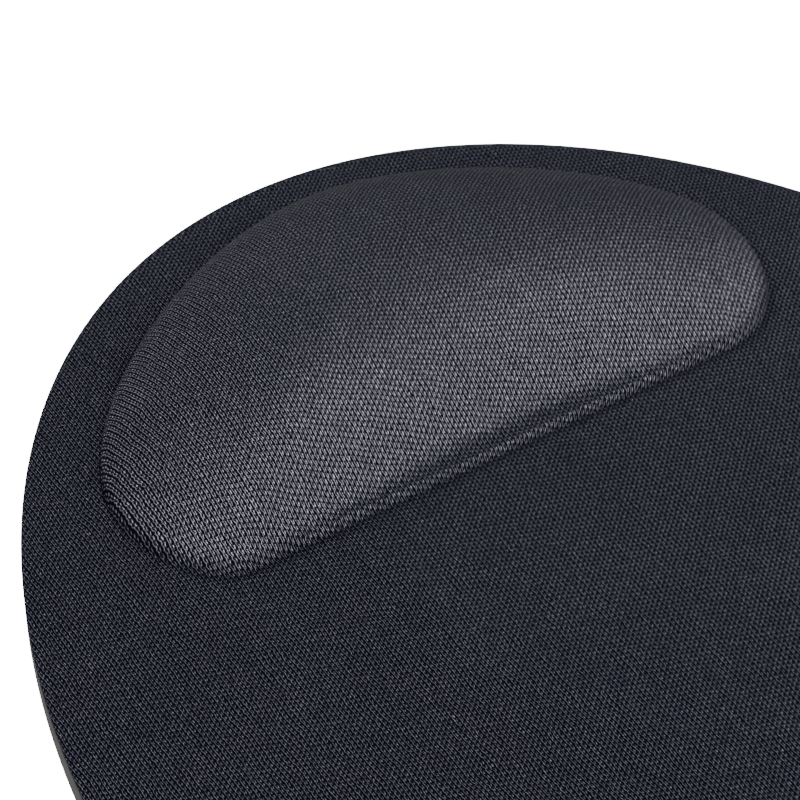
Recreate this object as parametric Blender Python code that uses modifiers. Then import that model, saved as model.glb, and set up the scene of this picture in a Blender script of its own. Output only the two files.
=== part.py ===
"""Mouse mat with a gel wrist rest: a knit cover over foam and a gel cushion, on a rubber base.

Frame: +Z up, origin on the desk under the middle of the mat. The wrist end of the mat is at -Y
and the mouse area at +Y. All lengths are in metres.
"""
from math import exp, pi

import bmesh
import bpy
from mathutils import Vector
from mathutils.geometry import interpolate_bezier

MM = 0.001
CLEARANCE = 0.3 * MM            # left between pieces that touch on the real object
ROUND = 0.5523                  # handle length of a Bezier quarter ellipse

# Mat outline: two half ellipses that meet at the widest place
MAT_LENGTH = 250.0 * MM
MAT_WIDTH = 211.0 * MM
WIDEST_FROM_WRIST_END = 149.5 * MM

# Layers, from the desk up
FLOOR_THICKNESS = 2.2 * MM
ADHESIVE_THICKNESS = 0.2 * MM
FOAM_THICKNESS = 2.0 * MM
FILM_THICKNESS = 0.2 * MM
KNIT_THICKNESS = 0.8 * MM

# Rubber base: a shallow tray with a full-height rim, cut flush with the cover
BASE_RIM_WIDTH = 3.4 * MM
BASE_EDGE_ROUND = 0.6 * MM

# Cushion outline, measured from the wrist end of the mat and from its middle line
CUSHION_HEIGHT = 15.0 * MM
CUSHION_BACK = 12.0 * MM
CUSHION_FRONT = 84.5 * MM
CUSHION_RIGHT = 67.5 * MM
CUSHION_LEFT = 64.4 * MM
SHOULDER_RIGHT = 63.5 * MM      # where each end is widest, from the wrist end
SHOULDER_LEFT = 62.0 * MM
FRONT_EDGE_RIGHT = 54.0 * MM    # where the straight front edge ends
FRONT_EDGE_LEFT = 44.0 * MM
BACK_FULLNESS = 0.44            # handle length of the long curve behind the shoulders

# Cushion profile: a step along the front edge, a long slope up to the crest, a round back
CREST_FROM_WRIST_END = 40.0 * MM
CREST_FROM_MIDDLE = 1.5 * MM
LIP_HEIGHT = 1.7 * MM           # the step along the front edge
GEL_LIP_HEIGHT = 0.6 * MM       # what the gel fills of it
LIP_REACH = 0.55 * MM           # how far in the step has mostly risen
FRONT_FACING = 0.55             # an edge whose normal has more than this of +Y is a front edge
HOLLOW_REACH = 19.0 * MM        # half width of the hollow in the middle of the front slope
ROUND_POWER, SLOPE_POWER, BACK_POWER = 2.8, 2.4, 2.3
ROUND_FALL, SLOPE_FALL, HOLLOW_FALL = 0.5, 0.82, 1.37

# Facets
OUTLINE_POINTS = 72
FLAT_STEPS = 2                  # rings between the cover's edge and the cushion
DOME_RATIOS = (0.98, 0.95, 0.9, 0.82, 0.72, 0.6, 0.46, 0.3, 0.15)
CURVE_RESOLUTION = 18

# Heights that follow from the layers
ADHESIVE_BOTTOM = FLOOR_THICKNESS + CLEARANCE
FOAM_BOTTOM = ADHESIVE_BOTTOM + ADHESIVE_THICKNESS + CLEARANCE
FILM_BOTTOM = FOAM_BOTTOM + FOAM_THICKNESS + CLEARANCE
FILM_TOP = FILM_BOTTOM + FILM_THICKNESS
GEL_BOTTOM = FILM_TOP + CLEARANCE
MAT_TOP = FILM_TOP + CLEARANCE + KNIT_THICKNESS
BASE_RIM_HEIGHT = MAT_TOP - KNIT_THICKNESS - CLEARANCE
FILM_DEPTH = KNIT_THICKNESS + CLEARANCE          # from the knit's face to the film's
GEL_INSET = FILM_DEPTH + FILM_THICKNESS + 2 * CLEARANCE
TRAY_INSET = BASE_RIM_WIDTH + CLEARANCE          # what lies in the tray starts here


def mat_corners(inset):
    """Quarter points of the mat outline with the length of the handles on each side."""
    half_width = MAT_WIDTH / 2 - inset
    wrist = WIDEST_FROM_WRIST_END - inset
    far = MAT_LENGTH - WIDEST_FROM_WRIST_END - inset
    middle = WIDEST_FROM_WRIST_END - MAT_LENGTH / 2
    across = Vector((half_width * ROUND, 0))
    down = Vector((0, wrist * ROUND))
    up = Vector((0, far * ROUND))
    return [(Vector((0, middle - wrist)), -across, across),
            (Vector((half_width, middle)), -down, up),
            (Vector((0, middle + far)), across, -across),
            (Vector((-half_width, middle)), up, -down)]


def cushion_corners(inset):
    """Corner points of the cushion's D outline with their handles."""
    right = CUSHION_RIGHT - inset
    left = CUSHION_LEFT - inset
    back = CUSHION_BACK + inset - MAT_LENGTH / 2
    front = CUSHION_FRONT - inset - MAT_LENGTH / 2
    side_right = SHOULDER_RIGHT - MAT_LENGTH / 2
    side_left = SHOULDER_LEFT - MAT_LENGTH / 2
    edge_right = FRONT_EDGE_RIGHT - inset / 2
    edge_left = FRONT_EDGE_LEFT - inset / 2
    third = Vector(((edge_right + edge_left) / 3, 0))
    return [(Vector((0, back)),
             Vector((-left * BACK_FULLNESS, 0)),
             Vector((right * BACK_FULLNESS, 0))),
            (Vector((right, side_right)),
             Vector((0, (back - side_right) * BACK_FULLNESS)),
             Vector((0, (front - side_right) * ROUND))),
            (Vector((edge_right, front)),
             Vector(((right - edge_right) * ROUND, 0)),
             -third),
            (Vector((-edge_left, front)),
             third,
             Vector(((edge_left - left) * ROUND, 0))),
            (Vector((-left, side_left)),
             Vector((0, (front - side_left) * ROUND)),
             Vector((0, (back - side_left) * BACK_FULLNESS)))]


def sampled(corners, count):
    """Points at equal distances along a closed Bezier outline, from its first corner."""
    fine = []
    for here, there in zip(corners, corners[1:] + corners[:1]):
        fine += interpolate_bezier(here[0], here[0] + here[2], there[0] + there[1], there[0], 60)[:-1]
    fine.append(fine[0].copy())
    travelled = [0.0]
    for a, b in zip(fine, fine[1:]):
        travelled.append(travelled[-1] + (b - a).length)
    points = []
    piece = 0
    for number in range(count):
        target = travelled[-1] * number / count
        while travelled[piece + 1] < target:
            piece += 1
        share = (target - travelled[piece]) / (travelled[piece + 1] - travelled[piece])
        points.append(fine[piece].lerp(fine[piece + 1], share))
    return points


def outward(points):
    """Unit normals of a closed outline that runs anticlockwise."""
    normals = []
    for before, after in zip(points[-1:] + points[:-1], points[1:] + points[:1]):
        along = (after - before).normalized()
        normals.append(Vector((along.y, -along.x)))
    return normals


def ring(points, height):
    return [Vector((point.x, point.y, height)) for point in points]


def smoothstep(low, high, value):
    share = min(max((value - low) / (high - low), 0), 1)
    return share * share * (3 - 2 * share)


def dome_rings(outline, bottom, height, lip_height):
    """Rings that climb from the outline to a crest near the wrist end."""
    crest = Vector((CREST_FROM_MIDDLE, CREST_FROM_WRIST_END - MAT_LENGTH / 2))
    rings = []
    for ratio in DOME_RATIOS:
        row = []
        for point, normal in zip(outline, outward(outline)):
            inward = (1 - ratio) * (point - crest).dot(normal)
            front = smoothstep(FRONT_FACING, 1, normal.y)
            back = smoothstep(0, 0.8, -normal.y)
            hollow = front * exp(-((point.x / HOLLOW_REACH) ** 2) / 2)
            power = ROUND_POWER + (SLOPE_POWER - ROUND_POWER) * front
            power += (BACK_POWER - ROUND_POWER) * back
            fall = ROUND_FALL + (SLOPE_FALL - ROUND_FALL) * front
            fall += (HOLLOW_FALL - SLOPE_FALL) * hollow
            lip = lip_height * front
            level = lip * (1 - exp(-((inward / LIP_REACH) ** 1.5)))
            level += (height - lip) * (1 - ratio ** power) ** fall
            place = crest.lerp(point, ratio)
            row.append(Vector((place.x, place.y, bottom + level)))
        rings.append(row)
    return rings


def loft(name, collection, rings, close_bottom):
    """A surface through rings of equal count, the last one closed by a flat crest."""
    bm = bmesh.new()
    rows = [[bm.verts.new(place) for place in row] for row in rings]
    count = len(rows[0])
    for low, high in zip(rows, rows[1:]):
        for i in range(count):
            j = (i + 1) % count
            bm.faces.new((low[i], low[j], high[j], high[i]))
    bm.faces.new(rows[-1])
    if close_bottom:
        bm.faces.new(rows[0][::-1])
    mesh = bpy.data.meshes.new(name)
    bm.to_mesh(mesh)
    bm.free()
    piece = bpy.data.objects.new(name, mesh)
    collection.objects.link(piece)
    return piece


def plate(name, collection, corners, bottom, thickness):
    """A flat plate cut to a closed Bezier outline."""
    curve = bpy.data.curves.new(name, "CURVE")
    curve.dimensions = "2D"
    curve.fill_mode = "BOTH"
    curve.extrude = thickness / 2
    curve.resolution_u = CURVE_RESOLUTION
    spline = curve.splines.new("BEZIER")
    spline.bezier_points.add(len(corners) - 1)
    spline.use_cyclic_u = True
    for bezier, (place, back, ahead) in zip(spline.bezier_points, corners):
        bezier.co = place.to_3d()
        bezier.handle_left = (place + back).to_3d()
        bezier.handle_right = (place + ahead).to_3d()
    piece = bpy.data.objects.new(name, curve)
    piece.location.z = bottom + thickness / 2
    collection.objects.link(piece)
    return piece


def solid_from_curve(piece):
    """Replace a curve object by its mesh, with the caps joined to the sides."""
    bpy.context.view_layer.update()
    evaluated = piece.evaluated_get(bpy.context.evaluated_depsgraph_get())
    mesh = bpy.data.meshes.new_from_object(evaluated)
    bm = bmesh.new()
    bm.from_mesh(mesh)
    bmesh.ops.remove_doubles(bm, verts=bm.verts, dist=0.001 * MM)
    bmesh.ops.recalc_face_normals(bm, faces=bm.faces)
    bm.to_mesh(mesh)
    bm.free()
    name = piece.name
    solid = bpy.data.objects.new(name, mesh)
    solid.matrix_world = piece.matrix_world.copy()
    piece.users_collection[0].objects.link(solid)
    bpy.data.objects.remove(piece)
    solid.name = name
    return solid


def paint(piece, name, colour, roughness):
    """Give the piece a plain material of its own."""
    material = bpy.data.materials.new(name)
    material.use_nodes = True
    shader = material.node_tree.nodes["Principled BSDF"]
    shader.inputs["Base Color"].default_value = (*colour, 1)
    shader.inputs["Roughness"].default_value = roughness
    shader.inputs["Metallic"].default_value = 0
    piece.data.materials.clear()
    piece.data.materials.append(material)


def smooth(piece, angle=pi / 5):
    piece.data.shade_smooth()
    piece.data.set_sharp_from_angle(angle=angle)


def cover_rings(inset):
    """The face of the knit from an outline inside the mat's: the flat mat, then the cushion."""
    outline = sampled(mat_corners(inset), OUTLINE_POINTS)
    cushion = sampled(cushion_corners(0), OUTLINE_POINTS)
    rings = []
    for step in range(FLAT_STEPS + 1):
        places = [a.lerp(b, step / FLAT_STEPS) for a, b in zip(outline, cushion)]
        rings.append(ring(places, MAT_TOP))
    return rings + dome_rings(cushion, MAT_TOP, CUSHION_HEIGHT, LIP_HEIGHT)


def shell(name, collection, inset, depth, thickness):
    """A skin of even thickness, its outer face a given depth under the face of the knit."""
    piece = loft(name, collection, cover_rings(inset), close_bottom=False)
    solidify = piece.modifiers.new("thickness", "SOLIDIFY")
    solidify.thickness = thickness
    solidify.offset = -1 - 2 * depth / thickness
    solidify.use_even_offset = True
    smooth(piece)
    return piece


def make_knit_cover(parts):
    """Stretch knit pulled over mat and cushion in one sheet."""
    cover = shell("knit_cover", parts, 0, 0, KNIT_THICKNESS)
    paint(cover, "black_knit", (0.020, 0.021, 0.026), 0.9)


def make_cover_film(parts):
    """Thin elastic film bonded to the back of the knit; it keeps the gel in."""
    film = shell("cover_film", parts, TRAY_INSET, FILM_DEPTH, FILM_THICKNESS)
    paint(film, "clear_film", (0.55, 0.56, 0.58), 0.35)


def make_gel_core(parts):
    """Soft gel that fills the cushion."""
    outline = sampled(cushion_corners(GEL_INSET), OUTLINE_POINTS)
    height = CUSHION_HEIGHT - KNIT_THICKNESS - CLEARANCE
    dome = dome_rings(outline, GEL_BOTTOM, height, GEL_LIP_HEIGHT)
    gel = loft("gel_core", parts, [ring(outline, GEL_BOTTOM)] + dome, close_bottom=True)
    smooth(gel)
    paint(gel, "soft_gel", (0.10, 0.22, 0.42), 0.2)


def make_gel_film(parts):
    """Film that closes the gel pack from below."""
    corners = cushion_corners(GEL_INSET)
    film = plate("gel_film", parts, corners, FILM_BOTTOM, FILM_THICKNESS)
    paint(film, "backing_film", (0.60, 0.60, 0.62), 0.4)


def make_foam_sheet(parts):
    """Thin foam sheet that makes the mouse area soft."""
    corners = mat_corners(TRAY_INSET)
    foam = plate("foam_sheet", parts, corners, FOAM_BOTTOM, FOAM_THICKNESS)
    paint(foam, "grey_foam", (0.12, 0.12, 0.13), 0.95)


def make_base_adhesive(parts):
    """Sheet of adhesive between the foam and the rubber."""
    corners = mat_corners(TRAY_INSET)
    sheet = plate("base_adhesive", parts, corners, ADHESIVE_BOTTOM, ADHESIVE_THICKNESS)
    paint(sheet, "adhesive_sheet", (0.70, 0.66, 0.52), 0.5)


def make_rubber_base(parts, cutters):
    """Non-slip rubber tray: a full floor, and a rim that stands around the foam."""
    base = solid_from_curve(plate("rubber_base", parts, mat_corners(0), 0, BASE_RIM_HEIGHT))
    rounding = base.modifiers.new("lower_edge", "BEVEL")
    rounding.width = BASE_EDGE_ROUND
    rounding.segments = 2
    rounding.limit_method = "ANGLE"
    cutter_corners = mat_corners(BASE_RIM_WIDTH)
    cutter = solid_from_curve(plate("tray_cutter", cutters, cutter_corners,
                                    FLOOR_THICKNESS, BASE_RIM_HEIGHT))
    cutter.hide_render = True
    cutter.display_type = "WIRE"
    cut = base.modifiers.new("tray", "BOOLEAN")
    cut.operation = "DIFFERENCE"
    cut.object = cutter
    smooth(base)
    paint(base, "base_rubber", (0.045, 0.045, 0.047), 0.6)


def main():
    for piece in list(bpy.data.objects):
        bpy.data.objects.remove(piece)
    parts = bpy.data.collections.new("mouse_mat_with_wrist_rest")
    cutters = bpy.data.collections.new("cutters")
    bpy.context.scene.collection.children.link(parts)
    bpy.context.scene.collection.children.link(cutters)
    make_rubber_base(parts, cutters)
    make_base_adhesive(parts)
    make_foam_sheet(parts)
    make_gel_film(parts)
    make_gel_core(parts)
    make_cover_film(parts)
    make_knit_cover(parts)


main()
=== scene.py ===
"""Looks of the mouse mat: the knit cover, the moulded rubber base and what lies between them.

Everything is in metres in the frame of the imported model: +Z up from the desk, the wrist end at
-Y and the mouse area at +Y. Lengths written in millimetres are multiplied by MM.
"""

import bpy
import numpy as np
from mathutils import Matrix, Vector


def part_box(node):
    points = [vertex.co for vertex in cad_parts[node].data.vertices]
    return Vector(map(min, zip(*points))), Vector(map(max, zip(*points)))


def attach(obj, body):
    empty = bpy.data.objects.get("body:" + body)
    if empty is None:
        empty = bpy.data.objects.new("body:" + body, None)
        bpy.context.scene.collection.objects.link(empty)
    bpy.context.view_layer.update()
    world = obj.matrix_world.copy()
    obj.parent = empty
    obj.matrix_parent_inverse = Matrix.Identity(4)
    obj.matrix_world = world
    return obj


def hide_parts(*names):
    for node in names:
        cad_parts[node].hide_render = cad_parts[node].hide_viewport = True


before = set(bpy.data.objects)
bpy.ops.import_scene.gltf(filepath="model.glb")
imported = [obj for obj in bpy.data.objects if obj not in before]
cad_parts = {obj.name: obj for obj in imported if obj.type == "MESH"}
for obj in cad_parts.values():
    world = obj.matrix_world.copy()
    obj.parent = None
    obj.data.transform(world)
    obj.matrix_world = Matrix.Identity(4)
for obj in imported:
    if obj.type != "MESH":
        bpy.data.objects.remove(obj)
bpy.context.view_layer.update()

MM = 0.001
ROUND = 0.5523                      # handle length of a Bezier quarter ellipse

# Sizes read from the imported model
mat_low, mat_high = (np.array(c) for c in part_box("rubber_base"))
cover_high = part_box("knit_cover")[1]
MAT_LENGTH = mat_high[1] - mat_low[1]
MAT_WIDTH = mat_high[0] - mat_low[0]
WRIST_END = mat_low[1]
BASE_TOP = mat_high[2]
BASE_MIDDLE = np.array([0, (mat_low[1] + mat_high[1]) / 2])

# Shape of the mat
WIDEST_FROM_WRIST_END = 149.5 * MM
CUSHION_HEIGHT = 15.0 * MM
MAT_TOP = cover_high[2] - CUSHION_HEIGHT

# Layers under the face of the knit: depths, and insets from the outlines
KNIT_THICKNESS = 0.8 * MM
FILM_DEPTH = 1.1 * MM
FILM_THICKNESS = 0.2 * MM
GEL_DEPTH = 1.1 * MM
GEL_INSET = 2.1 * MM
GEL_FOOT_ROUND = 0.25 * MM
GEL_FOOT_RISE = 0.15 * MM
GEL_LIP = 0.35                      # its step, as a share of the cover's
GEL_ROWS = 30
TRAY_INSET = 3.7 * MM
FOAM_PROFILE = ((60, 0), (30, 0), (10, 0), (0.35, 0), (0.08, 0.15), (0, 0.5), (0.08, 0.85),
                (0.35, 1), (10, 1), (30, 1), (60, 1))       # mm further in, share of the height

# Cushion outline, from the wrist end and from the middle line
CUSHION_BACK = 12.0 * MM
CUSHION_FRONT = 84.5 * MM
CUSHION_RIGHT = 67.5 * MM
CUSHION_LEFT = 64.4 * MM
SHOULDER_RIGHT = 63.5 * MM
SHOULDER_LEFT = 62.0 * MM
FRONT_EDGE_RIGHT = 54.0 * MM
FRONT_EDGE_LEFT = 44.0 * MM
BACK_FULLNESS = 0.44
CREST = np.array([1.5 * MM, WRIST_END + 40 * MM])

# Cushion profile: (1 - reached ** power) ** fall, with reached 0 at the crest and 1 at the foot
SIDE_POWER = 2.8
FRONT_POWER_LOSS, BACK_POWER_LOSS = 0.4, 0.5
ROUND_FALL = 0.5                    # a full, upright foot
FRONT_FALL_GAIN = 0.62              # towards a straight slope
MIDDLE_FALL_GAIN = 0.25
MIDDLE, MIDDLE_REACH = 2 * MM, 22 * MM          # of the front edge

# The cover's surface
SEGMENTS = 400                      # points round each outline, and so in each row
LIP_HEIGHT = 1.7 * MM               # step where the fabric leaves the mat
LIP_REACH = 0.4 * MM
LIP_BEAD = 0.25 * MM                # small pinched fold along the front edge
BEAD_INSET, BEAD_WIDTH = 0.95 * MM, 0.6 * MM
VALLEY = 3.0 * MM                   # flat strip behind the fold
COVER_HEM = BASE_TOP + 0.06 * MM
HEM_INSET = 0.05 * MM
RIM_ROUND = 0.55 * MM               # the cut edge of the knit is hardly rounded
RIM_SAG = 0.12 * MM
CREASE_DEPTH = 0.25 * MM            # dip along the cushion's foot
FLAT_ROWS = 26
DOME_ROWS = 56
BACK_ROWS = 24                      # rows over the cushion on the faces under the knit's
MOST_STRETCH = 3.0                  # how far steep cloth is let out, as a multiple
SLACK_STRETCH, SLACK_REACH = 1.1, 1.5 * MM      # but hardly along the front edge
SHIFT_REACH = 30 * MM               # over which the flat takes up what the dome draws in
LEAST_PULL, MOST_PULL_AND_LIGHT = 0.35, 1.6   # on the dome, towards the lighter look of drawn cloth and of painted light
LIGHT_BY_LEAN, LIGHT_BY_STEEPNESS = 0.5, 5.3      # painted light by the lean to the front, towards the key, and its square
# Painted light on faces turned to +X, towards the fill
LIGHT_TO_RIGHT = 0.5
# Painted highlight along the fold at the cushion's front foot
FOLD_HIGHLIGHT = 0.95

# Knit, in mm like the cloth coordinates: columns of stitches run along Y
WALE = 0.806                        # from column to column
COURSE = 1.007                      # from stitch to stitch
COURSE_SHIFT = 0.688                # share of a stitch that each column runs ahead

# One stitch, in mm from the middle of its pit
PIT_WIDTH, PIT_LENGTH, PIT_LEAN = 0.13, 0.22, 0.25
LEFT_LEG, LEFT_LEG_WIDTH, LEFT_LEG_WAVE = -0.22, 0.088, 0.05
RIGHT_LEG, RIGHT_LEG_WIDTH, RIGHT_LEG_LEAN = 0.27, 0.09, 0.15
LOOP_TOP, LOOP_TOP_LENGTH = -0.06, 0.2
NOTCH_WIDTH, NOTCH_LENGTH = 0.12, 0.19
NOTCH_ACROSS, NOTCH_ALONG = 0.447, 0.30         # shares of a wale and of a course
FIBRES_PER_MM = 6.5

# Dye of the knit; the drawn tint also stands where painted light falls
SLACK_TINT = (0.121, 0.121, 0.138)
DRAWN_AND_LIT_TINT = (0.133, 0.130, 0.142)
PIT_TINT = (0, 0.0002, 0.0062)      # what is left of it down in the pits

# Rubber base
GRIP_HEIGHT = 0.35 * MM             # how far the grip domes stand below the base's floor
FOOT_BAND = 9.0 * MM                # smooth band round the grip domes
FOOT_ROUND = 0.7 * MM
TOP_ROUND = 0.25 * MM
TRAY_WALL = 3.4 * MM
TRAY_FLOOR = 2.2 * MM
GRIP_PITCH = 5.0 * MM
GRIP_ROW_PITCH = 0.866 * GRIP_PITCH
GRIP_RADIUS = 1.5 * MM
GRIP_MARGIN = 0.6 * MM              # from the foot band to the nearest dome
GRIP_ROWS, GRIP_COLUMNS = 32, 24    # tried each way from the middle: more than fit
GRIP_SIDES = 10
GRIP_PROFILE = ((1, 1.15), (0.93, 0.55), (0.72, 0.16), (0.35, 0.0))     # shares of radius, height

# Light
KEY_POWER, KEY_SIZE, KEY_CONE = 48, 0.3, 34
KEY_TOWARDS = (-0.05, 0.62, 0.78)
KEY_AIM = (-0.035, -0.015, 0)
FILL_POWER, FILL_SPREAD = 1.3, 60
FILL_TOWARDS = (0.7, 0.25, 0.66)
SKY_STRENGTH = 0.6
FLOOR_GLOW = 17.0
FLOOR_DROP = 0.2 * MM


# ---------------------------------------------------------------- outlines

def mat_corners():
    """Quarter points of the mat outline, each with its handles."""
    half = MAT_WIDTH / 2
    near = WIDEST_FROM_WRIST_END
    far = MAT_LENGTH - near
    middle = WRIST_END + near
    return [((0, middle - near), (-half * ROUND, 0), (half * ROUND, 0)),
            ((half, middle), (0, -near * ROUND), (0, far * ROUND)),
            ((0, middle + far), (half * ROUND, 0), (-half * ROUND, 0)),
            ((-half, middle), (0, far * ROUND), (0, -near * ROUND))]


def cushion_corners():
    """Corner points of the cushion's D outline, each with its handles."""
    back = WRIST_END + CUSHION_BACK
    front = WRIST_END + CUSHION_FRONT
    right = WRIST_END + SHOULDER_RIGHT
    left = WRIST_END + SHOULDER_LEFT
    third = (FRONT_EDGE_RIGHT + FRONT_EDGE_LEFT) / 3
    return [((0, back), (-CUSHION_LEFT * BACK_FULLNESS, 0), (CUSHION_RIGHT * BACK_FULLNESS, 0)),
            ((CUSHION_RIGHT, right), (0, (back - right) * BACK_FULLNESS),
             (0, (front - right) * ROUND)),
            ((FRONT_EDGE_RIGHT, front), ((CUSHION_RIGHT - FRONT_EDGE_RIGHT) * ROUND, 0),
             (-third, 0)),
            ((-FRONT_EDGE_LEFT, front), (third, 0),
             ((FRONT_EDGE_LEFT - CUSHION_LEFT) * ROUND, 0)),
            ((-CUSHION_LEFT, left), (0, (front - left) * ROUND),
             (0, (back - left) * BACK_FULLNESS))]


def sampled(corners):
    """Points at equal distances along a closed Bezier outline, anticlockwise."""
    t = np.linspace(0, 1, 200, endpoint=False)[:, None]
    fine = []
    for here, there in zip(corners, corners[1:] + corners[:1]):
        a, b = np.array(here[0]), np.array(there[0])
        p, q = a + here[2], b + there[1]
        fine.append((1 - t) ** 3 * a + 3 * (1 - t) ** 2 * t * p
                    + 3 * (1 - t) * t ** 2 * q + t ** 3 * b)
    fine = np.concatenate(fine + [fine[0][:1]])
    travelled = np.concatenate([[0], np.cumsum(np.linalg.norm(np.diff(fine, axis=0), axis=1))])
    wanted = travelled[-1] * np.arange(SEGMENTS) / SEGMENTS
    return np.stack([np.interp(wanted, travelled, fine[:, k]) for k in (0, 1)], axis=1)


def outward(points):
    """Unit normals of a closed anticlockwise outline."""
    along = np.roll(points, -1, axis=0) - np.roll(points, 1, axis=0)
    along /= np.linalg.norm(along, axis=1)[:, None]
    return np.stack([along[:, 1], -along[:, 0]], axis=1)


def inset(points, distance):
    """A closed outline drawn in by a distance."""
    return points - outward(points) * distance


def ring(points, level):
    """A row of points over a closed outline, at one height or at a height each."""
    return np.column_stack([points, np.full(SEGMENTS, level)])


def smoothstep(low, high, value):
    t = np.clip((value - low) / (high - low), 0, 1)
    return t * t * (3 - 2 * t)


def smoothed_around(values, width):
    """Values round a closed ring, or several rings, blurred over width segments each way."""
    reach = np.arange(-3 * width, 3 * width + 1)
    weights = np.exp(-0.5 * (reach / width) ** 2)
    weights /= weights.sum()
    return sum(w * np.roll(values, k, axis=-1) for k, w in zip(reach, weights))


# ---------------------------------------------------------------- the cover's surface

def cushion_shape(outline, ratio, height, step):
    """Heights of a ring at ratio (1 edge, 0 crest) of the cushion outline; step scales the lip."""
    normal = outward(outline)
    depth = np.einsum("ij,ij->i", outline - CREST, normal)
    inward = (1 - ratio) * depth
    x = outline[:, 0]
    front = smoothstep(0.55, 1.0, normal[:, 1])
    back = smoothstep(0.0, 0.8, -normal[:, 1])
    middle = np.exp(-0.5 * ((x - MIDDLE) / MIDDLE_REACH) ** 2)
    power = smoothed_around(SIDE_POWER - FRONT_POWER_LOSS * front - BACK_POWER_LOSS * back, 12)
    fall = smoothed_around(ROUND_FALL + front * (FRONT_FALL_GAIN + MIDDLE_FALL_GAIN * middle), 12)
    start = smoothed_around(VALLEY * front * (0.1 + 0.9 * middle), 6)
    lip = smoothed_around(LIP_HEIGHT * step * front * (1 - 0.28 * middle), 6)
    bead = smoothed_around(LIP_BEAD * step * front * (0.25 + 0.75 * middle), 6)
    reached = np.clip(1 - (inward - start) / (depth - start), 0, 1)
    level = lip * (1 - np.exp(-(np.maximum(inward, 0) / LIP_REACH) ** 1.5))
    level = level + (height - lip) * np.clip(1 - reached ** power, 0, 1) ** fall
    return level + bead * np.exp(-((inward - BEAD_INSET) / BEAD_WIDTH) ** 2)


def rim_rows():
    """The cut edge of the knit, from its hem on the base up to the face."""
    outline = sampled(mat_corners())
    rows = [ring(inset(outline, HEM_INSET), COVER_HEM)]
    face = MAT_TOP - RIM_SAG
    for angle in np.linspace(0, np.pi / 2, 8):
        level = face - RIM_ROUND * (1 - np.sin(angle))
        rows.append(ring(inset(outline, RIM_ROUND * (1 - np.cos(angle))), level))
    return np.array(rows)


def flat_rows(start, cushion):
    """The flat of the mat, from a starting outline in to the cushion's foot."""
    rows = []
    for t in np.linspace(0, 1, FLAT_ROWS + 1)[1:]:
        share = 1 - (1 - t) ** 2.2          # closer together towards the cushion
        place = start * (1 - share) + cushion * share
        from_rim = np.linalg.norm(place - start, axis=1)
        from_cushion = np.linalg.norm(place - cushion, axis=1)
        level = MAT_TOP - RIM_SAG * np.exp(-from_rim / (3 * MM))
        level = level - CREASE_DEPTH * np.exp(-(from_cushion / (1.5 * MM)) ** 2)
        rows.append(ring(place, level))
    return np.array(rows)


def dome_rows(cushion, foot, height=CUSHION_HEIGHT, step=1.0, count=DOME_ROWS):
    """The cushion, from its foot up to the crest."""
    rows = []
    for t in np.linspace(0, 1, count + 1)[1:]:
        ratio = 1 - 0.985 * t ** 2.0        # closer together towards the foot
        place = CREST + (cushion - CREST) * ratio
        rows.append(ring(place, foot + cushion_shape(cushion, ratio, height, step)))
    return np.array(rows)


def layer_rows(depth, start, count):
    """A surface at a depth under the cover's face, from a starting outline in to the crest."""
    cushion = sampled(cushion_corners())
    foot = inset(cushion, depth)
    level = MAT_TOP - depth
    flat = [ring(start + (foot - start) * share, level) for share in (0, 0.25, 0.5, 0.75, 0.9, 1)]
    return np.concatenate([flat, dome_rows(foot, level, count=count)])


def on_cloth(rim, flat, dome):
    """Where each point of the cover lies on the knit before it was stretched, as X and Y."""
    front = smoothstep(-0.1, 0.7, outward(flat[-1, :, :2])[:, 1])
    laid = [dome[-1, :, :2]]
    for inner, outer in zip(dome[::-1], list(dome[-2::-1]) + [flat[-1]]):
        step = outer - inner
        level = np.linalg.norm(step[:, :2], axis=1)
        whole = np.linalg.norm(step, axis=1)
        gone = np.linalg.norm(outer[:, :2] - flat[-1, :, :2], axis=1)
        slack = front * np.exp(-(gone / SLACK_REACH) ** 2)
        most = MOST_STRETCH + (SLACK_STRETCH - MOST_STRETCH) * slack
        laid.append(laid[-1] + step[:, :2] * (np.maximum(level, whole / most) / level)[:, None])
    shift = laid[-1] - flat[-1, :, :2]
    dome_laid = laid[-2::-1]
    away = np.linalg.norm(flat[:, :, :2] - flat[-1, :, :2], axis=2)
    flat_laid = flat[:, :, :2] + shift * (1 - smoothstep(0, SHIFT_REACH, away))[:, :, None]
    edge = outward(rim[0, :, :2])
    rim_laid = [rim[-1, :, :2]]
    for inner, outer in zip(rim[::-1], rim[-2::-1]):
        rim_laid.append(rim_laid[-1] + edge * np.linalg.norm(outer - inner, axis=1)[:, None])
    return np.concatenate([rim_laid[::-1], flat_laid, dome_laid])


def skin(name, rows, close_first=False, more=()):
    """A mesh through rows of points, closed over the last, with more (points, faces) shapes."""
    count = len(rows[0])
    places = np.concatenate(rows)
    faces = []
    ahead = (np.arange(count) + 1) % count
    for r in range(len(rows) - 1):
        low, high = r * count, (r + 1) * count
        faces += np.column_stack([low + np.arange(count), low + ahead,
                                  high + ahead, high + np.arange(count)]).tolist()
    faces.append(list(range((len(rows) - 1) * count, len(rows) * count)))
    if close_first:
        faces.append(list(range(count))[::-1])
    for points, shape_faces in more:
        faces += (np.array(shape_faces) + len(places)).tolist()
        places = np.concatenate([places, points])
    mesh = bpy.data.meshes.new(name)
    mesh.from_pydata(places.tolist(), [], faces)
    mesh.update()
    mesh.shade_smooth()
    piece = bpy.data.objects.new(name, mesh)
    bpy.context.scene.collection.objects.link(piece)
    return piece


# ---------------------------------------------------------------- node trees

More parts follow.
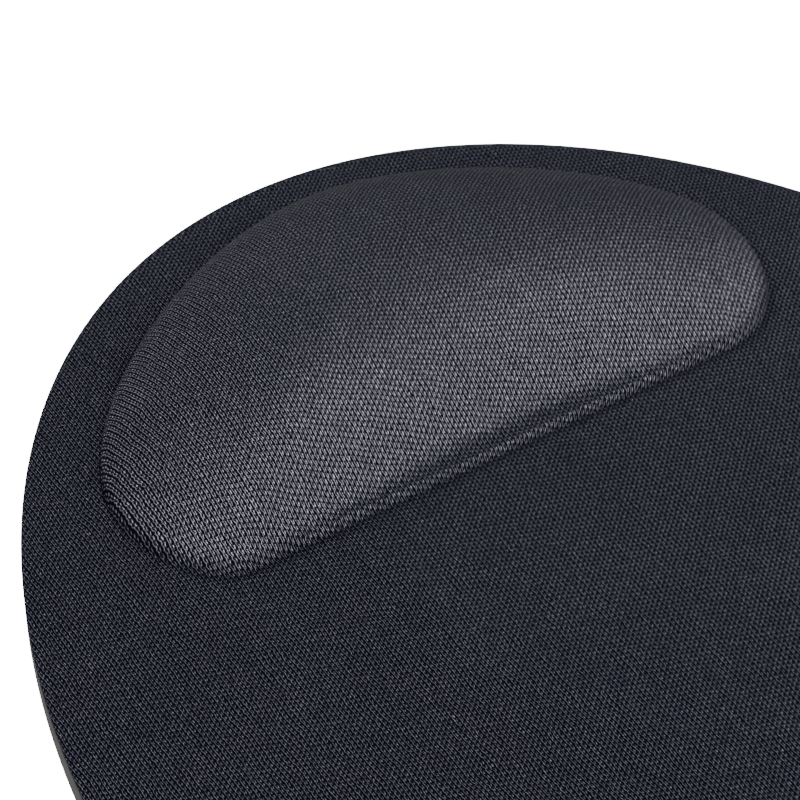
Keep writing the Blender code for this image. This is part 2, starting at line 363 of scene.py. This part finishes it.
class Value:
    """A number in a material's node tree; arithmetic on it adds Math nodes."""

    def __init__(self, tree, socket):
        self.tree = tree
        self.socket = socket

    def math(self, operation, *others):
        node = self.tree.nodes.new("ShaderNodeMath")
        node.operation = operation
        for slot, term in zip(node.inputs, (self, *others)):
            plug(self.tree, slot, term)
        return Value(self.tree, node.outputs[0])

    def __add__(self, other):
        return self.math("ADD", other)

    def __sub__(self, other):
        return self.math("SUBTRACT", other)

    def __mul__(self, other):
        return self.math("MULTIPLY", other)

    def __truediv__(self, other):
        return self.math("DIVIDE", other)

    def __pow__(self, other):
        return self.math("POWER", other)

    def floor(self):
        return self.math("FLOOR")

    def clamped(self):
        return self.math("MINIMUM", 1.0).math("MAXIMUM", 0.0)

    def between(self, at_zero, at_one):
        """The value's 0 to 1 drawn out to run from at_zero to at_one."""
        return self * (at_one - at_zero) + at_zero

    def bell(self, width):
        """1 where the value is 0, falling away on both sides over width."""
        return (self * self * (-1 / width ** 2)).math("EXPONENT")

    def ramp(self, low, high, at_low=0.0, at_high=1.0):
        """A smooth step of the value between low and high."""
        node = self.tree.nodes.new("ShaderNodeMapRange")
        node.interpolation_type = "SMOOTHSTEP"
        plug(self.tree, node.inputs["Value"], self)
        for name, number in zip(("From Min", "From Max", "To Min", "To Max"),
                                (low, high, at_low, at_high)):
            node.inputs[name].default_value = number
        return Value(self.tree, node.outputs["Result"])


def plug(tree, slot, term):
    """Link a Value or a socket into a slot, or write a plain number or colour there."""
    if isinstance(term, Value):
        tree.links.new(term.socket, slot)
    elif isinstance(term, bpy.types.NodeSocket):
        tree.links.new(term, slot)
    else:
        slot.default_value = term


def new_material(name, roughness, specular):
    """A material with its node tree and its shader."""
    material = bpy.data.materials.new(name)
    material.use_nodes = True
    shader = material.node_tree.nodes["Principled BSDF"]
    shader.inputs["Roughness"].default_value = roughness
    shader.inputs["Specular IOR Level"].default_value = specular
    return material, material.node_tree, shader


def joined(tree, x, y, z=0.0):
    """A vector socket from three numbers."""
    node = tree.nodes.new("ShaderNodeCombineXYZ")
    for slot, term in zip(node.inputs, (x, y, z)):
        plug(tree, slot, term)
    return node.outputs[0]


def noise(tree, vector, scale, detail):
    """Soft noise around 0.5 over a vector socket."""
    node = tree.nodes.new("ShaderNodeTexNoise")
    node.inputs["Scale"].default_value = scale
    node.inputs["Detail"].default_value = detail
    tree.links.new(vector, node.inputs["Vector"])
    return Value(tree, node.outputs["Fac"])


def object_place(tree):
    """A vector socket that gives the place on the piece."""
    return tree.nodes.new("ShaderNodeTexCoord").outputs["Object"]


def dice(tree, *cell):
    """An even random number from 0 to 1 for each cell."""
    node = tree.nodes.new("ShaderNodeTexWhiteNoise")
    node.noise_dimensions = "3D"
    tree.links.new(joined(tree, *cell), node.inputs["Vector"])
    return Value(tree, node.outputs["Value"])


def blend_colours(tree, share, low, high):
    """A colour between two, by share."""
    node = tree.nodes.new("ShaderNodeMix")
    node.data_type = "RGBA"
    plug(tree, node.inputs["Factor"], share)
    for slot, colour in zip((node.inputs["A"], node.inputs["B"]), (low, high)):
        plug(tree, slot, colour if isinstance(colour, bpy.types.NodeSocket) else (*colour, 1))
    return node.outputs["Result"]


def raise_surface(tree, shader, height, distance, strength):
    """Bump from a height of 0 to 1."""
    node = tree.nodes.new("ShaderNodeBump")
    node.inputs["Distance"].default_value = distance
    node.inputs["Strength"].default_value = strength
    plug(tree, node.inputs["Height"], height)
    tree.links.new(node.outputs["Normal"], shader.inputs["Normal"])


# ---------------------------------------------------------------- the pieces and their materials

def knit_material():
    """Black knit: V-shaped stitches with pits between painted dark as shade, lighter where it is
    stretched and where painted light falls, darker in painted shade by the cushion's foot.
    """
    material, tree, shader = new_material("black_knit_fine", 0.8, 0.03)
    cloth = tree.nodes.new("ShaderNodeAttribute")
    cloth.attribute_name = "cloth"
    parts = tree.nodes.new("ShaderNodeSeparateXYZ")
    tree.links.new(cloth.outputs["Vector"], parts.inputs[0])
    vector = cloth.outputs["Vector"]
    # How far the knit is drawn, together with painted light and shade, from make_cover
    stretch_and_light_node = tree.nodes.new("ShaderNodeAttribute")
    stretch_and_light_node.attribute_name = "stretch_and_light"
    stretch_and_light = Value(tree, stretch_and_light_node.outputs["Fac"])

    drift = noise(tree, vector, 0.16, 1) - 0.5
    jitter = noise(tree, vector, 1.1, 1) - 0.5
    x = Value(tree, parts.outputs["X"]) + drift * 0.9 + jitter * 0.35
    y = Value(tree, parts.outputs["Y"]) + drift * 0.7 - jitter * 0.3
    u = x / WALE
    column = (u + 0.5).floor()
    across = (u - column) * WALE
    v = y / COURSE - column * COURSE_SHIFT
    loop = (v + 0.5).floor()
    along = (v - loop) * COURSE
    stitch_luck = dice(tree, column, loop)

    pit = (across - along * PIT_LEAN).bell(PIT_WIDTH) * along.bell(PIT_LENGTH)
    wave = (along * (2 * np.pi / COURSE)).math("SINE") * LEFT_LEG_WAVE
    left_leg = (across + wave - LEFT_LEG).bell(LEFT_LEG_WIDTH)
    right_leg = (across - along * RIGHT_LEG_LEAN - RIGHT_LEG).bell(RIGHT_LEG_WIDTH)
    loop_top = (along - LOOP_TOP).bell(LOOP_TOP_LENGTH)
    column_left = (u + 0.05).floor()            # the notch lies to the right of this column
    across_notch = (u - column_left - NOTCH_ACROSS) * WALE
    v_notch = y / COURSE - column_left * COURSE_SHIFT - NOTCH_ALONG
    along_notch = (v_notch - (v_notch + 0.5).floor()) * COURSE
    notch = across_notch.bell(NOTCH_WIDTH) * along_notch.bell(NOTCH_LENGTH)

    fibre_luck = noise(tree, vector, 3.6, 2).ramp(0.32, 0.68)
    hole = (pit * stitch_luck.between(0.85, 1.15)).math("MINIMUM", 1.0)
    # Drawn share, which carries painted light too, for the stitch shape and the tint
    drawn = (stretch_and_light * 0.7).clamped()
    right_height = loop_top * drawn.between(0.45, 0.15) + drawn.between(0.6, 1.0)
    web = left_leg * 0.85 + right_leg * right_height + 0.06
    height = web * hole.between(1, 0) * notch.between(1, 0.05)
    grain = dice(tree, (x * FIBRES_PER_MM).floor(), (y * FIBRES_PER_MM).floor(), 7.0) + 0.5
    # The colour follows the stitch height, so pits and gaps between the yarns are painted dark as
    # shade
    tone = (height ** 2.3) * stitch_luck.between(0.95, 1.3) * fibre_luck.between(0.85, 1.55) * grain
    fleck = dice(tree, (x * 5).floor(), (y * 4).floor(), 3.0).ramp(0.9, 1.0, 0.0, 1.0) * height
    patch = noise(tree, vector, 0.045, 2).ramp(0.3, 0.7, 0.95, 1.05)
    # Lighter where the knit is drawn and in painted light, darker in painted shade at the foot
    tone = (tone + fleck) * patch * stretch_and_light.between(1, 1.9)
    shade = blend_colours(tree, noise(tree, vector, 0.08, 1).ramp(0.35, 0.65, -0.1, 0.3) + drawn,
                          SLACK_TINT, DRAWN_AND_LIT_TINT)
    colour = tree.nodes.new("ShaderNodeVectorMath")
    colour.operation = "SCALE"
    tree.links.new(shade, colour.inputs[0])
    plug(tree, colour.inputs["Scale"], tone + 0.005)
    dyed = tree.nodes.new("ShaderNodeVectorMath")
    tree.links.new(colour.outputs[0], dyed.inputs[0])
    dyed.inputs[1].default_value = PIT_TINT
    tree.links.new(dyed.outputs[0], shader.inputs["Base Color"])
    shader.inputs["Sheen Weight"].default_value = 0.02
    shader.inputs["Sheen Roughness"].default_value = 0.3
    raise_surface(tree, shader, height + fibre_luck * 0.2, 0.16 * MM, 0.7)
    return material


def add_values(piece, name, kind, values):
    """Store a number or a vector at each point of a mesh, for its material."""
    attribute = piece.data.attributes.new(name, kind, "POINT")
    field = "value" if kind == "FLOAT" else "vector"
    attribute.data.foreach_set(field, np.asarray(values, np.float32).ravel())


def cover_stretch_and_light(face, normals, cushion, outside):
    """How far the knit is drawn out at each point of the face, with painted light and shade, row
    by row from the rim.

    The first rows, as many as outside says, lie outside the cushion. The knit is drawn out over
    the dome, and painted light falls where it leans to the mat's mouse end, towards the key, and
    where it turns to +X; a painted highlight runs along the fold at its foot, and painted shade
    lies just outside the foot.
    """
    lift = np.clip((face.reshape(-1, 3)[:, 2] - MAT_TOP) / CUSHION_HEIGHT, 0, 1)
    lean = np.maximum(normals[:, 1], 0)
    # Painted light on faces leaning to the mouse end, where the key is, and turned to +X, where the
    # fill is
    pulled_and_lit = LEAST_PULL + LIGHT_BY_LEAN * lean + LIGHT_BY_STEEPNESS * lean ** 2
    pulled_and_lit = pulled_and_lit + LIGHT_TO_RIGHT * np.clip(normals[:, 0], -0.25, 1)
    stretch_and_light = smoothstep(0.04, 0.19, lift) * np.clip(pulled_and_lit, 0, MOST_PULL_AND_LIGHT)
    stretch_and_light = smoothed_around(stretch_and_light.reshape(-1, SEGMENTS), 7)
    away = np.linalg.norm(face[:, :, :2] - cushion, axis=2)
    away[:outside] *= -1
    front = smoothed_around(smoothstep(0.55, 1.0, outward(cushion)[:, 1]), 4)
    # Painted highlight: the knit is lightened along the fold at the front foot
    fold = FOLD_HIGHLIGHT * np.exp(-((away / MM - 0.5) / 0.5) ** 2)
    # Painted shade just outside the cushion's foot, deepest at the front
    crease_shade = (0.3 + 0.25 * front) * np.exp(-((away / MM + 0.6) / 0.8) ** 2)
    return (stretch_and_light + front * fold - crease_shade).ravel()


def make_cover():
    """The knit sheet over mat and cushion, with its own thickness."""
    outline = sampled(mat_corners())
    cushion = sampled(cushion_corners())
    rim = rim_rows()
    start = inset(outline, RIM_ROUND)
    flat = flat_rows(start, cushion)
    dome = dome_rows(cushion, MAT_TOP - CREASE_DEPTH, CUSHION_HEIGHT + CREASE_DEPTH)
    face = np.concatenate([rim, flat, dome])
    back = layer_rows(KNIT_THICKNESS, start, BACK_ROWS)[::-1]
    cover = skin("knit_cover_sheet", np.concatenate([back, face]), close_first=True)
    first = back.shape[0] * SEGMENTS
    normals = np.array([v.normal for v in cover.data.vertices])[first:]
    laid = on_cloth(rim, flat, dome).reshape(-1, 2) / MM
    laid = np.concatenate([back[:, :, :2].reshape(-1, 2) / MM, laid])
    add_values(cover, "cloth", "FLOAT_VECTOR", np.column_stack([laid, np.zeros(len(laid))]))
    # How far the knit is drawn, together with painted light and shade, for the knit's material
    stretch_and_light = cover_stretch_and_light(face, normals, cushion, len(rim) + len(flat))
    add_values(cover, "stretch_and_light", "FLOAT", np.concatenate([np.zeros(first), stretch_and_light]))
    cover.data.materials.append(knit_material())
    return cover


def film_material(name, colour):
    """Thin elastic film: milky, semi-gloss, with faint drawn streaks."""
    material, tree, shader = new_material(name, 0.35, 0.5)
    place = object_place(tree)
    cloud = noise(tree, place, 90, 3)
    paler = tuple(1.12 * c for c in colour)
    shade = blend_colours(tree, cloud.ramp(0.35, 0.7), colour, paler)
    tree.links.new(shade, shader.inputs["Base Color"])
    plug(tree, shader.inputs["Roughness"], cloud.ramp(0.3, 0.7, 0.28, 0.42))
    raise_surface(tree, shader, noise(tree, place, 700, 2), 0.04 * MM, 0.4)
    return material


def make_film():
    """The elastic film on the back of the knit."""
    start = inset(sampled(mat_corners()), TRAY_INSET)
    rows = np.concatenate([layer_rows(FILM_DEPTH + FILM_THICKNESS, start, BACK_ROWS)[::-1],
                           layer_rows(FILM_DEPTH, start, BACK_ROWS)])
    film = skin("cover_film_skin", rows, close_first=True)
    film.data.materials.append(film_material("elastic_film", (0.55, 0.56, 0.58)))
    return film


def gel_material():
    """Soft gel: clear blue with cloudy depth and a wet, slightly uneven skin."""
    material, tree, shader = new_material("blue_gel", 0.2, 0.5)
    place = object_place(tree)
    cloud = noise(tree, place, 45, 3)
    colour = blend_colours(tree, cloud.ramp(0.3, 0.7), (0.07, 0.17, 0.36), (0.12, 0.25, 0.46))
    tree.links.new(colour, shader.inputs["Base Color"])
    plug(tree, shader.inputs["Roughness"], cloud.ramp(0.3, 0.7, 0.14, 0.26))
    shader.inputs["Subsurface Weight"].default_value = 0.3
    shader.inputs["Subsurface Scale"].default_value = 3 * MM
    raise_surface(tree, shader, noise(tree, place, 160, 2), 0.25 * MM, 0.5)
    return material


def make_gel():
    """The gel pad: flat below, round at its foot, domed like the cushion."""
    outline = inset(sampled(cushion_corners()), GEL_INSET)
    foot = MAT_TOP - KNIT_THICKNESS
    rows = [ring(CREST + (outline - CREST) * ratio, foot) for ratio in (0.2, 0.5, 0.8, 0.95)]
    rows.append(ring(inset(outline, GEL_FOOT_ROUND), foot))
    rows += list(dome_rows(outline, foot + GEL_FOOT_RISE,
                           CUSHION_HEIGHT - GEL_DEPTH - GEL_FOOT_RISE, GEL_LIP, GEL_ROWS))
    gel = skin("gel_pad_soft", rows, close_first=True)
    gel.data.materials.append(gel_material())
    return gel


def foam_material():
    """Closed-cell foam: dark grey, matt, full of small open pores on its cut faces."""
    material, tree, shader = new_material("dark_foam", 0.95, 0.2)
    place = object_place(tree)
    cell = tree.nodes.new("ShaderNodeTexVoronoi")
    cell.inputs["Scale"].default_value = 1800
    tree.links.new(place, cell.inputs["Vector"])
    pore = Value(tree, cell.outputs["Distance"]).ramp(0.1, 0.5)
    shade = blend_colours(tree, pore, (0.06, 0.06, 0.065), (0.13, 0.13, 0.14))
    tree.links.new(shade, shader.inputs["Base Color"])
    raise_surface(tree, shader, pore, 0.2 * MM, 0.8)
    return material


def make_foam():
    """The foam that lies in the tray, with slightly pillowed cut edges."""
    low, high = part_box("foam_sheet")
    outline = sampled(mat_corners())
    rows = [ring(inset(outline, TRAY_INSET + further * MM), low[2] + share * (high[2] - low[2]))
            for further, share in FOAM_PROFILE]
    foam = skin("foam_pad", rows, close_first=True)
    foam.data.materials.append(foam_material())
    return foam


def adhesive_material():
    """Adhesive sheet: dull cream with darker patches where it is thin."""
    material, tree, shader = new_material("cream_adhesive", 0.5, 0.4)
    place = object_place(tree)
    cloud = noise(tree, place, 120, 4)
    shade = blend_colours(tree, cloud.ramp(0.3, 0.7), (0.58, 0.53, 0.40), (0.74, 0.70, 0.57))
    tree.links.new(shade, shader.inputs["Base Color"])
    plug(tree, shader.inputs["Roughness"], cloud.ramp(0.3, 0.7, 0.4, 0.65))
    raise_surface(tree, shader, noise(tree, place, 1500, 2), 0.05 * MM, 0.6)
    return material


def rubber_material():
    """Dark grey moulded rubber: a fine matt grain, faint dust and paler scuffs."""
    material, tree, shader = new_material("dark_grey_rubber", 0.55, 0.5)
    place = object_place(tree)
    cloud = noise(tree, place, 60, 3)
    grain = noise(tree, place, 2200, 2)
    scuff = noise(tree, place, 1300, 4).ramp(0.52, 0.75)
    dark = blend_colours(tree, cloud.ramp(0.35, 0.75),
                         (0.034, 0.034, 0.036), (0.050, 0.050, 0.052))
    colour = blend_colours(tree, scuff, dark, (0.09, 0.09, 0.09))
    tree.links.new(colour, shader.inputs["Base Color"])
    plug(tree, shader.inputs["Roughness"], cloud.ramp(0.3, 0.8, 0.5, 0.66))
    raise_surface(tree, shader, grain, 0.03 * MM, 0.5)
    return material


def base_rows():
    """The rubber base from the middle of its underside, round the edge, to the tray's floor."""
    outline = sampled(mat_corners())
    profile = [(FOOT_BAND, GRIP_HEIGHT), (FOOT_BAND - 0.3 * MM, 0.05 * MM),
               (FOOT_BAND - 0.5 * MM, 0), (1.0 * MM, 0)]
    for angle in np.linspace(0, np.pi / 2, 7)[1:]:
        profile.append((FOOT_ROUND * (1 - np.sin(angle)), FOOT_ROUND * (1 - np.cos(angle))))
    for share in (0.35, 0.65):
        profile.append((0, FOOT_ROUND + share * (BASE_TOP - FOOT_ROUND)))
    for angle in np.linspace(0, np.pi / 2, 4):
        level = BASE_TOP - TOP_ROUND * (1 - np.sin(angle))
        profile.append((TOP_ROUND * (1 - np.cos(angle)), level))
    profile += [(TRAY_WALL, BASE_TOP), (TRAY_WALL, TRAY_FLOOR)]
    rows = [ring(BASE_MIDDLE + (outline - BASE_MIDDLE) * ratio, GRIP_HEIGHT)
            for ratio in (0.1, 0.3, 0.5, 0.7, 0.85)]
    return rows + [ring(inset(outline, distance), level) for distance, level in profile]


def grip_domes():
    """Points and faces of each low dome, in staggered rows inside the foot band."""
    outline = sampled(mat_corners())
    angles = np.arctan2(outline[:, 1] - BASE_MIDDLE[1], outline[:, 0])
    reach = np.linalg.norm(outline - BASE_MIDDLE, axis=1) - FOOT_BAND - GRIP_RADIUS - GRIP_MARGIN
    order = np.argsort(angles)
    turn = np.arange(GRIP_SIDES) * 2 * np.pi / GRIP_SIDES
    circle = np.column_stack([np.cos(turn), -np.sin(turn)])
    dome = np.concatenate([np.column_stack([circle * GRIP_RADIUS * width,
                                            np.full(GRIP_SIDES, GRIP_HEIGHT * level)])
                           for width, level in GRIP_PROFILE])
    last = len(dome) - GRIP_SIDES
    faces = [[low + k, low + (k + 1) % GRIP_SIDES, low + GRIP_SIDES + (k + 1) % GRIP_SIDES,
              low + GRIP_SIDES + k]
             for low in range(0, last, GRIP_SIDES) for k in range(GRIP_SIDES)]
    for k in range(1, GRIP_SIDES - 2, 2):
        faces.append([last, last + k, last + k + 1, last + k + 2])
        faces.append([k + 2, k + 1, k, 0])
    shapes = []
    for row in range(-GRIP_ROWS, GRIP_ROWS + 1):
        for place in range(-GRIP_COLUMNS, GRIP_COLUMNS + 1):
            x = (place + 0.5 * (row % 2)) * GRIP_PITCH
            y = row * GRIP_ROW_PITCH
            allowed = np.interp(np.arctan2(y, x), angles[order], reach[order], period=2 * np.pi)
            if np.hypot(x, y) < allowed:
                shapes.append((dome + [x, y + BASE_MIDDLE[1], 0], faces))
    return shapes


def make_base():
    """The moulded base with a smooth band round a field of low grip domes."""
    base = skin("rubber_base_moulded", base_rows(), close_first=True, more=grip_domes())
    base.data.materials.append(rubber_material())
    return base


# ---------------------------------------------------------------- camera and light

def make_camera():
    """Long lens beyond the mouse end, on its +X side, looking down at the cushion."""
    azimuth, elevation = np.radians(146.3), np.radians(42.5)
    target = np.array([11.6 * MM, WRIST_END + 63.6 * MM, MAT_TOP])
    distance = 573.6 * MM
    ahead = np.array([-np.sin(azimuth) * np.cos(elevation), np.cos(azimuth) * np.cos(elevation),
                      -np.sin(elevation)])
    camera = bpy.data.objects.new("camera", bpy.data.cameras.new("camera"))
    camera.data.lens = 148.8
    camera.data.sensor_width = 36
    camera.data.clip_start = 0.01
    camera.location = target - ahead * distance
    camera.rotation_euler = Vector(ahead).to_track_quat("-Z", "Y").to_euler()
    bpy.context.scene.collection.objects.link(camera)
    bpy.context.scene.camera = camera


def add_light(name, kind, towards, power):
    """A light that shines from the given direction."""
    light = bpy.data.objects.new(name, bpy.data.lights.new(name, kind))
    light.data.energy = power
    light.rotation_euler = Vector(towards).to_track_quat("Z", "Y").to_euler()
    bpy.context.scene.collection.objects.link(light)
    return light


def make_studio():
    """White floor, a large soft key from the mouse end, weak light from all round."""
    floor = skin("studio_floor", [np.array([[-3, -3, -FLOOR_DROP], [3, -3, -FLOOR_DROP],
                                            [3, 3, -FLOOR_DROP], [-3, 3, -FLOOR_DROP]])])
    material, tree, shader = new_material("pale_floor", 0.8, 0.2)
    shader.inputs["Base Color"].default_value = (0.9, 0.9, 0.905, 1)
    shader.inputs["Emission Color"].default_value = (1, 1, 1, 1)
    shader.inputs["Emission Strength"].default_value = FLOOR_GLOW
    floor.data.materials.append(material)
    floor.visible_diffuse = False               # its glow doesn't light the mat from below
    floor.visible_glossy = False
    key = add_light("key", "SPOT", KEY_TOWARDS, KEY_POWER)
    key.data.shadow_soft_size = KEY_SIZE
    key.data.spot_size = np.radians(KEY_CONE)
    key.data.spot_blend = 1.0
    key.location = Vector(KEY_AIM) + Vector(KEY_TOWARDS).normalized()
    fill = add_light("fill", "SUN", FILL_TOWARDS, FILL_POWER)
    fill.data.angle = np.radians(FILL_SPREAD)
    world = bpy.data.worlds.new("studio")
    world.use_nodes = True
    world.node_tree.nodes["Background"].inputs["Color"].default_value = (1, 1, 1, 1)
    world.node_tree.nodes["Background"].inputs["Strength"].default_value = SKY_STRENGTH
    bpy.context.scene.world = world


# ---------------------------------------------------------------- the scene

make_camera()
make_studio()
base = make_base()
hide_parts("rubber_base")
foam = make_foam()
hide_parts("foam_sheet")
gel = make_gel()
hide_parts("gel_core")
film = make_film()
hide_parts("cover_film")
cover = make_cover()
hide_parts("knit_cover")
for piece in (base, foam, gel, film, cover):
    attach(piece, "root")
backing_film = film_material("backing_film", (0.60, 0.60, 0.62))
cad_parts["gel_film"].material_slots[0].material = backing_film
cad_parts["base_adhesive"].material_slots[0].material = adhesive_material()
